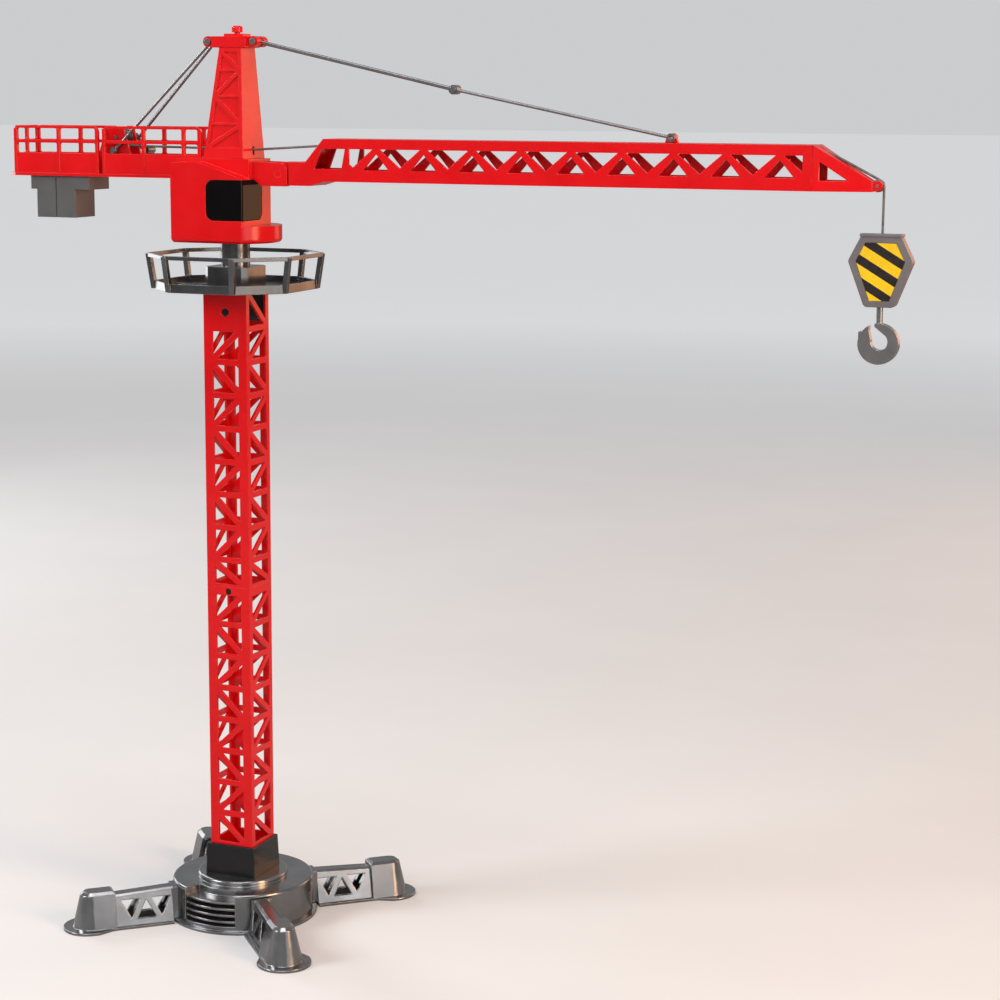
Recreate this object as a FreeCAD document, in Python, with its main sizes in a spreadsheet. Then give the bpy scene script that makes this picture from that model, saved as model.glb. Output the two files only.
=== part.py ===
import FreeCAD, Part
import math
import os
import Sketcher

os.makedirs("parts", exist_ok=True)

# Toy tower crane. Millimetres. +Z up, +X along the jib, origin on the mast axis at floor level.

SIZES = {
    # base
    "drum_radius": 79.8, "drum_top": 44.7, "wall": 3.0, "flange_radius": 84.5, "flange_thick": 3.0,
    "ring_radius": 51.0, "ring_top": 50.7, "drum_bore": 12.0, "cover_radius": 76.5,
    "recess_inner": 60.0, "recess_floor": 8.0, "recess_angle": 48.0, "louvre_thick": 2.4,
    "louvre_pitch": 7.4, "louvre_radius": 77.0, "ballast_radius": 50.0, "ballast_thick": 10.0,
    "boss_circle": 66.0, "boss_radius": 4.5, "screw_radius": 1.5,
    "leg_start": 70.0, "leg_end": 172.0, "leg_half": 11.5, "leg_top_in": 41.0, "leg_top_out": 36.5,
    "leg_flange_half": 21.0, "leg_foot_half": 17.6, "leg_crown_half": 8.0, "leg_turn": -3.0,
    "foot_start": 150.5, "foot_centre": 176.0, "foot_half": 21.5, "foot_height": 43.0,
    "foot_flange": 29.5, "flange_centre": 178.0, "leg_fit": 0.3,
    "first_strut": 98.0, "strut_pitch": 17.5, "strut_half": 11.0, "strut_low": 9.0, "strut_high": 31.0,
    "collar_half": 31.0, "collar_top": 85.9, "collar_floor": 60.0,
    # mast
    "mast_half": 26.4, "mast_wall": 2.6, "mast_joint": 386.0, "joint_line": 379.3, "mast_top": 716.5,
    "lower_pitch": 36.675, "upper_pitch": 36.9, "bar_half": 3.3, "chord_front": 10.5, "chord_side": 7.0,
    "strut_rise": 4.5, "strut_run": 4.7, "spigot_bottom": 375.4, "spigot_half": 23.6,
    "joint_screw_level": 380.4, "top_screw_level": 692.5, "joint_hole": 3.7, "top_hole": 4.8,
    # platform
    "deck_top": 719.5, "octagon_half": 81.2, "octagon_side": 39.1, "fascia_top": 726.0, "rail_top": 756.1,
    "rail_thick": 4.2, "rail_flare": 5.4, "fascia_thick": 2.5, "post_half": 2.8,
    "hub_top": 741.7, "column_radius": 16.0, "column_top": 767.6, "spindle_radius": 12.0,
    "spindle_top": 786.2, "running_gap": 0.06,
    # turret
    "turret_bottom": 768.0, "skirt_radius": 51.5, "skirt_top": 787.0, "cab_near": 42.2, "core_half": 25.3,
    "cab_back": 57.7, "cab_front": 31.0, "core_top": 858.5, "roof_top": 855.0, "shell_wall": 2.6,
    "window_left": 13.2, "window_bottom": 792.5, "window_top": 836.4, "window_corner": 9.0, "window_far": 5.0,
    "pivot_x": 62.8, "pivot_z": 843.4, "pivot_radius": 4.0, "cheek_outer": 20.1, "cheek_inner": 14.2,
    "cheek_end": 74.0, "cheek_bottom": 830.0, "cheek_top": 855.0, "cheek_round": 9.0,
    "tower_base_x": 24.0, "tower_base_y": 25.3, "tower_top": 976.8, "tower_top_rear": 8.2,
    "tower_top_front": 18.3, "tower_top_y": 16.0, "tower_wall": 3.4, "relief_depth": 1.6,
    "cap_top": 988.6, "cap_half": 16.6, "head_x_front": 30.6, "head_x_rear": 24.0, "head_z": 983.1,
    "pin_radius": 2.0, "pin_half": 14.1, "pin_head": 1.7, "lug_radius": 5.8, "lug_half": 12.4,
    "fork_front": 2.9, "fork_rear": 7.4,
    "knob_x": 5.5, "knob_radius": 6.0, "crane_top": 1000.0,
    # counter-jib
    "deck_bottom": 836.5, "deck_face": 840.0, "deck_half": 24.3, "deck_end": 275.0, "rail_low": 859.0,
    "rail_mid": 873.0, "rib_half": 1.6, "rail_mid_top": 876.5, "rail_bar": 889.0,
    "rail_height": 892.0, "rail_plate": 3.0,
    "weight_left": 240.0, "weight_right": 189.5, "weight_bottom": 790.4, "weight_step": 821.6,
    "weight_half": 21.0, "weight_split": 214.5, "weight_flange_left": 246.5, "weight_flange_right": 171.0,
    "winch_x": 141.0, "winch_z": 879.5, "axle_radius": 2.0, "anchor_x": 142.0, "anchor_z": 864.5,
    "winch_cheek_in": 9.5, "winch_cheek_out": 12.4, "winding_radius": 7.2, "drum_flange": 10.0,
    "crank_y": 27.5, "crank_thick": 3.0, "crank_throw": 20.0, "crank_knob_radius": 4.2,
    # jib
    "jib_half": 20.1, "jib_bottom": 836.0, "jib_top": 881.0, "jib_wall": 2.6, "jib_end": 647.0,
    "root_start": 76.0, "root_bottom": 831.0, "root_top": 856.0, "tongue_half": 13.6, "tongue_radius": 12.4,
    "first_apex": 178.6, "jib_pitch": 54.5, "upright_half": 15.0, "inverted_half": 23.0,
    "window_low": 848.5, "window_high": 870.5, "upright_apex": 866.0, "inverted_apex": 851.0,
    "nose_end": 704.0, "nose_half": 7.0, "nose_top": 846.5, "roller_x": 709.0, "roller_z": 842.0,
    "roller_radius": 4.0, "roller_flange": 6.2, "roller_half": 2.7,
    # pendants
    "knee_x": 260.5, "knee_z": 933.0, "jib_anchor_x": 497.7, "jib_anchor_z": 886.0, "rod_radius": 2.2,
    "twin_radius": 1.35, "twin_y": 4.4, "twin_inner": 2.8, "twin_outer": 6.0, "middle_half": 2.4,
    "stay_radius": 1.8, "stay_y_low": 15.8, "stay_y_high": 4.4, "stay_eye_half": 2.0,
    "eye_radius": 4.6, "knee_radius": 5.0,
    # hoist
    "line_radius": 1.3, "line_x": 714.6, "block_top": 793.0, "block_wide": 768.8, "block_bottom": 723.8,
    "block_top_half": 20.0, "block_wide_half": 32.1, "block_low_half": 14.8, "block_thick_half": 6.5,
    "stripe_inset": 6.0, "stripe_depth": 0.9, "shank_radius": 3.2, "hook_z": 687.5, "hook_radius": 20.4,
    "tip_outer": 19.8, "tip_inner": 9.5, "tip_rise": 12.6, "hook_bowl": 8.5, "hook_thick_half": 4.0,
    "cap_thick": 2.5,
}


class Size:
    """A length known both as a number and as an expression of the size sheet's cells."""

    def __init__(self, value, text):
        self.value = float(value)
        self.text = text

    def __add__(self, other):
        return joined(self, "+", other)

    def __radd__(self, other):
        return joined(other, "+", self)

    def __sub__(self, other):
        return joined(self, "-", other)

    def __rsub__(self, other):
        return joined(other, "-", self)

    def __mul__(self, other):
        return joined(self, "*", other)

    def __rmul__(self, other):
        return joined(other, "*", self)

    def __truediv__(self, other):
        return joined(self, "/", other)

    def __neg__(self):
        return Size(-self.value, "(-%s)" % self.text)


OPERATIONS = {
    "+": lambda first, second: first + second,
    "-": lambda first, second: first - second,
    "*": lambda first, second: first * second,
    "/": lambda first, second: first / second,
}


def as_size(quantity):
    if isinstance(quantity, Size):
        return quantity
    return Size(quantity, "(%r)" % float(quantity))


def joined(first, sign, second):
    first = as_size(first)
    second = as_size(second)
    value = OPERATIONS[sign](first.value, second.value)
    return Size(value, "(%s %s %s)" % (first.text, sign, second.text))


def distance(dx, dz):
    value = math.hypot(dx.value, dz.value)
    return Size(value, "sqrt(%s ^ 2 + %s ^ 2)" % (dx.text, dz.text))


class Named:
    """The cells of the size sheet, by name."""


doc = FreeCAD.newDocument("tower_crane")
sheet = doc.addObject("Spreadsheet::Sheet", "sizes")
d = Named()
for row, (alias, number) in enumerate(SIZES.items(), start=1):
    sheet.set("A%d" % row, alias)
    sheet.set("B%d" % row, str(number))
    sheet.setAlias("B%d" % row, alias)
    setattr(d, alias, Size(number, "sizes." + alias))
doc.recompute()

NODES = []


# ---------------------------------------------------------------- modelling helpers

def new_body(label, x=0, y=0, z=0):
    """One sub-part, placed in the crane's frame by sizes of the sheet."""
    body = doc.addObject("PartDesign::Body", label)
    body.Label = label
    for axis, quantity in zip("xyz", (x, y, z)):
        body.setExpression("Placement.Base." + axis, as_size(quantity).text)
    NODES.append(body)
    return body


def origin_feature(body, role):
    return [item for item in body.Origin.OriginFeatures if item.Role == role][0]


def new_sketch(body, plane, at=0, spin=0):
    """A sketch on one of the body's own planes, moved along its axis, or turned about Z."""
    sketch = body.newObject("Sketcher::SketchObject", body.Label + "_sketch")
    sketch.AttachmentSupport = [(origin_feature(body, plane + "_Plane"), "")]
    sketch.MapMode = "FlatFace"
    if spin:
        turn_about_z = FreeCAD.Rotation(FreeCAD.Vector(0, 1, 0), spin)
        sketch.AttachmentOffset = FreeCAD.Placement(FreeCAD.Vector(), turn_about_z)
    else:
        along = -as_size(at) if plane == "XZ" else as_size(at)
        sketch.setExpression("AttachmentOffset.Base.z", along.text)
    return sketch


def arc_between(first, last, radius):
    """A minor arc from first to last; a positive radius turns left, a negative one right."""
    chord = math.hypot(last[0] - first[0], last[1] - first[1])
    rise = math.sqrt(max(radius * radius - chord * chord / 4, 0)) * math.copysign(1, radius)
    centre = FreeCAD.Vector((first[0] + last[0]) / 2 - (last[1] - first[1]) / chord * rise,
                            (first[1] + last[1]) / 2 + (last[0] - first[0]) / chord * rise, 0)
    start, end = (first, last) if radius > 0 else (last, first)
    from_angle = math.atan2(start[1] - centre.y, start[0] - centre.x)
    to_angle = math.atan2(end[1] - centre.y, end[0] - centre.x)
    if to_angle < from_angle:
        to_angle += 2 * math.pi
    circle = Part.Circle(centre, FreeCAD.Vector(0, 0, 1), abs(radius))
    return Part.ArcOfCircle(circle, from_angle, to_angle)


class Drawing:
    """Geometry and constraints for one sketch, every size bound to the sheet."""

    def __init__(self, sketch):
        self.sketch = sketch
        self.shapes = []
        self.rules = []
        self.texts = []

    def rule(self, constraint, text=None):
        self.rules.append(constraint)
        self.texts.append(text)

    def fix_point(self, shape, end, x, y):
        for kind, size, axis in (("DistanceX", as_size(x), -2), ("DistanceY", as_size(y), -1)):
            if abs(size.value) < 1e-7:
                self.rule(Sketcher.Constraint("PointOnObject", shape, end, axis))
            elif size.value > 0:
                self.rule(Sketcher.Constraint(kind, -1, 1, shape, end, size.value), size.text)
            else:
                self.rule(Sketcher.Constraint(kind, shape, end, -1, 1, -size.value), (-size).text)

    def circle(self, x, y, radius):
        centre = FreeCAD.Vector(as_size(x).value, as_size(y).value, 0)
        radius = as_size(radius)
        self.shapes.append(Part.Circle(centre, FreeCAD.Vector(0, 0, 1), radius.value))
        shape = len(self.shapes) - 1
        self.rule(Sketcher.Constraint("Radius", shape, radius.value), radius.text)
        self.fix_point(shape, 3, x, y)

    def outline(self, corners):
        """A closed outline. A corner's third number is the radius of the arc to the next corner."""
        first_shape = len(self.shapes)
        points = [(as_size(c[0]).value, as_size(c[1]).value) for c in corners]
        ends = []
        for index, corner in enumerate(corners):
            here = points[index]
            there = points[(index + 1) % len(points)]
            shape = first_shape + index
            if len(corner) == 3:
                radius = as_size(corner[2])
                self.shapes.append(arc_between(here, there, radius.value))
                magnitude = radius if radius.value > 0 else -radius
                self.rule(Sketcher.Constraint("Radius", shape, magnitude.value), magnitude.text)
                ends.append((1, 2) if radius.value > 0 else (2, 1))
            else:
                self.shapes.append(Part.LineSegment(FreeCAD.Vector(*here, 0), FreeCAD.Vector(*there, 0)))
                ends.append((1, 2))
        for index, corner in enumerate(corners):
            following = (index + 1) % len(corners)
            self.rule(Sketcher.Constraint("Coincident", first_shape + index, ends[index][1],
                                          first_shape + following, ends[following][0]))
            self.fix_point(first_shape + index, ends[index][0], corner[0], corner[1])

    def finish(self):
        self.sketch.addGeometry(self.shapes, False)
        self.sketch.addConstraint(self.rules)
        for index, text in enumerate(self.texts):
            if text and "sizes." in text:
                self.sketch.setExpression("Constraints[%d]" % index, text)
        return self.sketch


def drawn(body, plane, outlines, at=0, spin=0):
    drawing = Drawing(new_sketch(body, plane, at, spin))
    for outline in outlines:
        if outline[0] == "circle":
            drawing.circle(*outline[1:])
        else:
            drawing.outline(outline)
    return drawing.finish()


def box(left, low, right, high):
    return [(left, low), (right, low), (right, high), (left, high)]


def rounded_box(left, low, right, high, radius):
    return [(left + radius, low), (right - radius, low, radius), (right, low + radius),
            (right, high - radius, radius), (right - radius, high), (left + radius, high, radius),
            (left, high - radius), (left, low + radius, radius)]


def circle(x, y, radius):
    return ("circle", x, y, radius)


def pad(body, plane, outlines, low, high, taper=0):
    """Material between two levels along the axis that the plane faces."""
    low = as_size(low)
    sketch = drawn(body, plane, outlines, low)
    feature = body.newObject("PartDesign::Pad", body.Label + "_pad")
    feature.Profile = sketch
    feature.setExpression("Length", (as_size(high) - low).text)
    feature.Reversed = plane == "XZ"
    feature.TaperAngle = taper
    return feature


def cut(body, plane, outlines, low, high):
    """A pocket between two levels along the axis that the plane faces."""
    low = as_size(low)
    high = as_size(high)
    sketch = drawn(body, plane, outlines, low if plane == "XZ" else high)
    feature = body.newObject("PartDesign::Pocket", body.Label + "_pocket")
    feature.Profile = sketch
    feature.setExpression("Length", (high - low).text)
    return feature


def turn(body, profile, plane="XZ", angle=360, kind="Revolution"):
    """A solid or a groove turned about the body's Z axis."""
    sketch = drawn(body, plane, [profile])
    feature = body.newObject("PartDesign::" + kind, body.Label + "_turned")
    feature.Profile = sketch
    feature.ReferenceAxis = (sketch, ["V_Axis"])
    feature.Angle = angle
    feature.Midplane = angle < 360
    return feature


def around(body, feature, count):
    pattern = body.newObject("PartDesign::PolarPattern", body.Label + "_around")
    pattern.Originals = [feature]
    pattern.Axis = (origin_feature(body, "Z_Axis"), [""])
    pattern.Angle = 360
    pattern.Occurrences = count
    body.Tip = pattern
    return pattern


def repeat(body, feature, axis, count, pitch):
    pattern = body.newObject("PartDesign::LinearPattern", body.Label + "_row")
    pattern.Originals = [feature]
    pattern.Direction = (origin_feature(body, axis + "_Axis"), [""])
    pattern.setExpression("Length", (as_size(pitch) * (count - 1)).text)
    pattern.Occurrences = count
    body.Tip = pattern
    return pattern


def mirror(body, feature, plane):
    pattern = body.newObject("PartDesign::Mirrored", body.Label + "_mirrored")
    pattern.Originals = [feature]
    pattern.MirrorPlane = (origin_feature(body, plane + "_Plane"), [""])
    body.Tip = pattern
    return pattern


def loft(body, plane, first, last, kind="AdditiveLoft"):
    """A solid between two outlines, each given as (level, outline)."""
    sketches = [drawn(body, plane, [outline], level) for level, outline in (first, last)]
    feature = body.newObject("PartDesign::" + kind, body.Label + "_loft")
    feature.Profile = sketches[0]
    feature.Sections = [sketches[1]]
    return feature


def soften(body, size, picked, kind="Fillet"):
    """Rounds or chamfers the edges that the test picks."""
    doc.recompute()
    base = body.Tip
    names = ["Edge%d" % (i + 1) for i, edge in enumerate(base.Shape.Edges) if picked(edge)]
    feature = body.newObject("PartDesign::" + kind, body.Label + "_edges")
    feature.Base = (base, names)
    feature.setExpression("Radius" if kind == "Fillet" else "Size", as_size(size).text)
    return feature


def runs_along(edge, axis):
    """True for a straight edge along the named axis."""
    first, last = edge.Vertexes[0].Point, edge.Vertexes[-1].Point
    length = (last - first).Length
    return length > 1e-6 and abs(getattr(last - first, axis)) > 0.98 * length


def near(number, size, tolerance=0.4):
    return abs(number - as_size(size).value) < tolerance


# ---------------------------------------------------------------- base

def turned(body, angle):
    """The body's own placement: a turn about the mast's axis."""
    body.Placement = FreeCAD.Placement(FreeCAD.Vector(), FreeCAD.Rotation(FreeCAD.Vector(0, 0, 1), angle))


def make_base_drum():
    body = new_body("base_drum")
    turned(body, d.leg_turn.value)
    inner = d.drum_radius - d.wall
    under = d.drum_top - d.wall
    turn(body, [(inner, 0), (d.flange_radius, 0), (d.flange_radius, d.flange_thick),
                (d.drum_radius, d.flange_thick), (d.drum_radius, d.drum_top - 3, 3),
                (d.drum_radius - 3, d.drum_top), (d.ring_radius, d.drum_top),
                (d.ring_radius, d.ring_top - 2.5, 2.5), (d.ring_radius - 2.5, d.ring_top),
                (d.drum_bore, d.ring_top), (d.drum_bore, under), (inner, under)])
    alcove = d.recess_inner - d.wall
    turn(body, [(-alcove, d.recess_floor - d.wall), (-alcove, under + 0.5), (-inner - 0.5, under + 0.5),
                (-inner - 0.5, d.recess_floor - d.wall)], "YZ", 54)
    turn(body, [(-d.recess_inner, d.recess_floor), (-d.recess_inner, d.ring_top + 1),
                (-d.flange_radius - 1, d.ring_top + 1), (-d.flange_radius - 1, d.recess_floor)],
         "YZ", d.recess_angle.value, "Groove")
    louvre = turn(body, [(-d.recess_inner + 1, d.recess_floor + 3), (-d.louvre_radius, d.recess_floor + 3),
                         (-d.louvre_radius, d.recess_floor + 3 + d.louvre_thick),
                         (-d.recess_inner + 1, d.recess_floor + 4.5 + d.louvre_thick)],
                  "YZ", d.recess_angle.value + 1)
    repeat(body, louvre, "Z", 4, d.louvre_pitch)
    boss = pad(body, "XY", [circle(0, d.boss_circle, d.boss_radius)], d.flange_thick + 0.2, under + 0.5)
    around(body, boss, 3)
    pilot = cut(body, "XY", [circle(0, d.boss_circle, d.screw_radius)], d.flange_thick, 20)
    around(body, pilot, 3)
    slot = drawn(body, "YZ", [box(-d.leg_half - d.leg_fit, -1, d.leg_half + d.leg_fit,
                                  d.leg_top_in + d.leg_fit)], spin=45)
    opening = body.newObject("PartDesign::Pocket", "base_drum_leg_slot")
    opening.Profile = slot
    opening.Reversed = True
    opening.setExpression("Length", (d.flange_radius + 2).text)
    around(body, opening, 4)


def make_base_cover():
    body = new_body("base_cover")
    turned(body, d.leg_turn.value)
    pad(body, "XY", [circle(0, 0, d.cover_radius)], 0, d.flange_thick)
    hole = cut(body, "XY", [circle(0, d.boss_circle, d.screw_radius + 0.2)], 0, d.flange_thick)
    around(body, hole, 3)
    sink = cut(body, "XY", [circle(0, d.boss_circle, 3.4)], 0, 1.6)
    around(body, sink, 3)


def make_ballast():
    body = new_body("ballast_disc", z=d.flange_thick)
    pad(body, "XY", [circle(0, 0, d.ballast_radius)], 0, d.ballast_thick)


def make_base_screws():
    body = new_body("base_screws")
    turned(body, d.leg_turn.value)
    screw = pad(body, "XY", [circle(0, d.boss_circle, 3.1)], 0.2, 1.6)
    shank = pad(body, "XY", [circle(0, d.boss_circle, d.screw_radius)], 1.6, 14)
    pattern = around(body, screw, 3)
    pattern.Originals = [screw, shank]


def make_leg(label, angle):
    body = new_body(label)
    turned(body, angle)
    shoulder = d.flange_radius + 0.7
    crown = d.leg_top_in - 0.7
    pad(body, "XZ", [[(d.leg_start, d.flange_thick + 0.3), (shoulder + 0.2, d.flange_thick + 0.3),
                      (shoulder + 0.2, crown), (d.leg_start, d.leg_top_in)]], -d.leg_half, d.leg_half)
    foot, top = d.leg_foot_half, d.leg_crown_half
    loft(body, "YZ", (shoulder, [(-foot, 0), (foot, 0), (top, crown), (-top, crown)]),
         (d.leg_end, [(-foot, 0), (foot, 0), (top, d.leg_top_out), (-top, d.leg_top_out)]))
    soften(body, 2.2, lambda edge: runs_along(edge, "x") and edge.Length > 80 and edge.CenterOfMass.z > 30,
           "Chamfer")
    pad(body, "XY", [box(shoulder, -d.leg_flange_half, d.foot_start - 0.2, d.leg_flange_half)],
        0, d.flange_thick)
    cut(body, "XY", [box(shoulder + 1, 3 - d.leg_crown_half, d.leg_end - 3, d.leg_crown_half - 3)], 0, 33)
    cut(body, "XY", [box(shoulder + 3, 7 - foot, d.leg_end - 3, foot - 7)], 0, 18)
    low, high = d.strut_low, d.strut_high
    triangles = []
    for index in range(3):
        centre = d.first_strut + d.strut_pitch * index
        flat, apex = (high, low + 1.5) if index % 2 == 0 else (low, high - 1.5)
        triangles.append([(centre - d.strut_half, flat), (centre + d.strut_half, flat), (centre, apex)])
    cut(body, "XZ", triangles, -d.leg_foot_half - 1, d.leg_foot_half + 1)


def foot_outline(start, centre, half):
    """A bluff shape in plan: flat towards the crane, half round outwards."""
    return [(start, -half), (centre, -half, half), (centre + half, 0, half), (centre, half), (start, half)]


FOOT_LEAN = 13.0  # degrees


def make_foot(label, angle):
    body = new_body(label)
    turned(body, angle)
    start = d.foot_start
    pad(body, "XY", [foot_outline(start - 10, d.foot_centre, d.foot_half)], 0, d.foot_height, -FOOT_LEAN)
    soften(body, 3.2, lambda edge: edge.CenterOfMass.z > d.foot_height.value - 0.5
           and edge.BoundBox.ZLength < 0.1, "Chamfer")
    cut(body, "XY", [box(start - 12, -d.foot_flange, start, d.foot_flange)], -1, d.foot_height + 1)
    wide, narrow, centre = d.foot_flange, d.leg_flange_half, d.flange_centre
    pad(body, "XY", [[(start, -narrow), (start + 5, -narrow), (centre - 5, -wide), (centre, -wide, wide),
                      (centre + wide, 0, wide), (centre, wide), (centre - 5, wide), (start + 5, narrow),
                      (start, narrow)]], 0, d.flange_thick)
    fit = d.leg_fit
    foot, top = d.leg_foot_half + fit + 0.2, d.leg_crown_half + fit * 2
    cut(body, "YZ", [[(-foot, -0.1), (foot, -0.1), (top, d.leg_top_out + 1.6), (-top, d.leg_top_out + 1.6)]],
        start - 3, d.leg_end + fit)


def make_mast_socket():
    body = new_body("mast_socket")
    half = d.collar_half
    pad(body, "XY", [box(-half, -half, half, half)], d.ring_top, d.collar_top, -2.3)
    inner = d.mast_half + 0.2
    cut(body, "XY", [box(-inner, -inner, inner, inner)], d.collar_floor, d.collar_top)
    pad(body, "XY", [circle(0, 0, d.drum_bore - 0.2)], d.drum_top, d.ring_top)


# ---------------------------------------------------------------- mast

def square(half):
    return box(-half, -half, half, half)


def zigzag(side, low, high, lean):
    """The two triangular windows on either side of one slanting strut."""
    run, rise = d.strut_run, d.strut_rise
    return [[(-lean * side, low), (lean * (side - run), low), (-lean * side, high - rise)],
            [(lean * side, high), (-lean * (side - run), high), (lean * side, low + rise)]]


def lattice(body, plane, chord, first_level, pitch, pairs):
    """Two panels of zigzag windows, repeated up the mast, through both walls."""
    side = d.mast_half - chord
    windows = []
    for index in range(2):
        low = first_level + pitch * index + d.bar_half
        high = first_level + pitch * (index + 1) - d.bar_half
        windows += zigzag(side, low, high, 1 - 2 * index)
    pocket = cut(body, plane, windows, -d.mast_half - 1, d.mast_half + 1)
    repeat(body, pocket, "Z", pairs, pitch * 2)


def make_mast_lower():
    body = new_body("mast_lower")
    pad(body, "XY", [square(d.mast_half), square(d.mast_half - d.mast_wall)],
        d.collar_floor + 0.2, d.mast_joint)
    cut(body, "XZ", [circle(0, d.joint_screw_level, d.joint_hole)], -d.mast_half - 1, d.mast_half + 1)
    start = d.joint_line - d.lower_pitch * 8
    lattice(body, "XZ", d.chord_front, start, d.lower_pitch, 4)
    lattice(body, "YZ", d.chord_side, start, d.lower_pitch, 4)


def make_mast_upper():
    body = new_body("mast_upper")
    inner = d.spigot_half - 2.4
    pad(body, "XY", [square(d.mast_half), square(d.mast_half - d.mast_wall)], d.mast_joint, d.mast_top)
    pad(body, "XY", [square(d.mast_half - 1), square(inner)], d.mast_joint, d.mast_joint + 2)
    pad(body, "XY", [square(d.spigot_half), square(inner)], d.spigot_bottom, d.mast_joint)
    cut(body, "XZ", [circle(0, d.joint_screw_level, d.screw_radius)], -d.mast_half - 1, d.mast_half + 1)
    cut(body, "XZ", [circle(0, d.top_screw_level, d.top_hole)], -d.mast_half - 1, d.mast_half + 1)
    first = d.joint_line
    lattice_upper(body, "XZ", d.chord_front, first)
    lattice_upper(body, "YZ", d.chord_side, first)
    low = first + d.upper_pitch * 8 + d.bar_half
    high = d.mast_top - 4
    side = d.mast_half - d.chord_side
    cut(body, "YZ", zigzag(side, low, high, 1), -d.mast_half - 1, d.mast_half + 1)


def lattice_upper(body, plane, chord, first):
    """The upper section's windows: its lowest panel starts above the joint's band."""
    side = d.mast_half - chord
    pitch, bar = d.upper_pitch, d.bar_half
    windows = zigzag(side, d.mast_joint + 3, first + pitch - bar, 1)
    windows += zigzag(side, first + pitch + bar, first + pitch * 2 - bar, -1)
    cut(body, plane, windows, -d.mast_half - 1, d.mast_half + 1)
    lattice(body, plane, chord, first + pitch * 2, pitch, 3)


def make_mast_screws():
    body = new_body("mast_screws")
    seat = d.spigot_half + 0.05
    for level in (d.joint_screw_level, d.top_screw_level):
        head = pad(body, "XZ", [circle(0, level, 3.3)], -seat - 1.5, -seat)
        shank = pad(body, "XZ", [circle(0, level, d.screw_radius - 0.05)], -seat, -seat + 7)
        pair = mirror(body, head, "XZ")
        pair.Originals = [head, shank]


# ---------------------------------------------------------------- platform

def octagon(half, side):
    """A square with cut corners; side is half the length of its straight sides."""
    return [(-side, -half), (side, -half), (half, -side), (half, side), (side, half), (-side, half),
            (-half, side), (-half, -side)]


def inset_octagon(inset):
    return octagon(d.octagon_half - inset, d.octagon_side - inset * 0.4142)


def make_platform_deck():
    body = new_body("platform_deck")
    hole = d.spigot_half + 0.2
    pad(body, "XY", [inset_octagon(d.fascia_thick + 0.2), square(hole)], d.mast_top, d.deck_top)
    rib = pad(body, "XY", [box(d.mast_half + 3, -1.2, d.octagon_half - 4.5, 1.2)],
              d.deck_top, d.deck_top + 1.2)
    around(body, rib, 4)


def make_platform_railing():
    body = new_body("platform_railing")
    pad(body, "XY", [inset_octagon(0), inset_octagon(d.fascia_thick)], d.mast_top, d.fascia_top)
    flare = d.rail_flare
    pad(body, "XY", [inset_octagon(-flare - 1), inset_octagon(d.rail_thick - flare - 1)],
        d.rail_top - d.rail_thick, d.rail_top)
    posts = []
    for side in (-1, 1):
        x = side * (d.octagon_side - 0.6)
        y = -d.octagon_half + 1.2
        top_x, top_y = x + side * flare * 0.4, y - flare
        half = d.post_half
        posts.append(loft(body, "XY",
                          (d.mast_top + 0.6, box(x - half, y - half, x + half, y + half)),
                          (d.rail_top - 1, box(top_x - half, top_y - half, top_x + half, top_y + half))))
    pattern = around(body, posts[0], 4)
    pattern.Originals = posts
    cut(body, "XY", [inset_octagon(d.fascia_thick)], d.mast_top, d.deck_top + 1.8)


def make_slew_hub():
    body = new_body("slew_hub")
    half = d.mast_half
    corner = 6
    pad(body, "XY", [octagon(half, half - corner)], d.deck_top, d.hub_top)
    pad(body, "XY", [square(d.spigot_half - 0.1)], d.top_screw_level - 13, d.deck_top)
    pad(body, "XY", [circle(0, 0, d.column_radius)], d.hub_top, d.column_top)
    pad(body, "XY", [circle(0, 0, d.spindle_radius)], d.column_top, d.spindle_top)
    hollow = d.spigot_half - 3
    cut(body, "XY", [square(hollow)], d.top_screw_level - 13, d.hub_top - 4)
    cut(body, "YZ", [box(-hollow, d.top_screw_level - 14, hollow, d.mast_top - 3)],
        -d.mast_half - 1, d.mast_half + 1)
    cut(body, "XY", [circle(0, 0, 2)], d.hub_top - 4, d.spindle_top)
    cut(body, "XZ", [circle(0, d.top_screw_level, d.screw_radius)], -d.mast_half, d.mast_half)


def make_slew_retainer():
    body = new_body("slew_retainer")
    pad(body, "XY", [circle(0, 0, d.column_radius)], d.spindle_top, d.spindle_top + 2.4)
    pad(body, "XY", [circle(0, 0, 4)], d.spindle_top + 2.4, d.spindle_top + 4.6)
    pad(body, "XY", [circle(0, 0, 1.9)], d.spindle_top - 14, d.spindle_top)


# ---------------------------------------------------------------- turret

def cab_outline(inset):
    """Side view of the cab: upright back, arched roof falling towards the front."""
    back = -d.cab_back + inset
    front = d.cab_front - inset
    roof = d.roof_top - inset
    return [(back, d.turret_bottom + inset), (front, d.turret_bottom + inset), (front, d.window_top + 0.6),
            (front - 8, roof - 14.4), (-d.window_left - 9.8, roof, 260), (back + 5, roof - 0.6),
            (back, roof - 5)]


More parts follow.
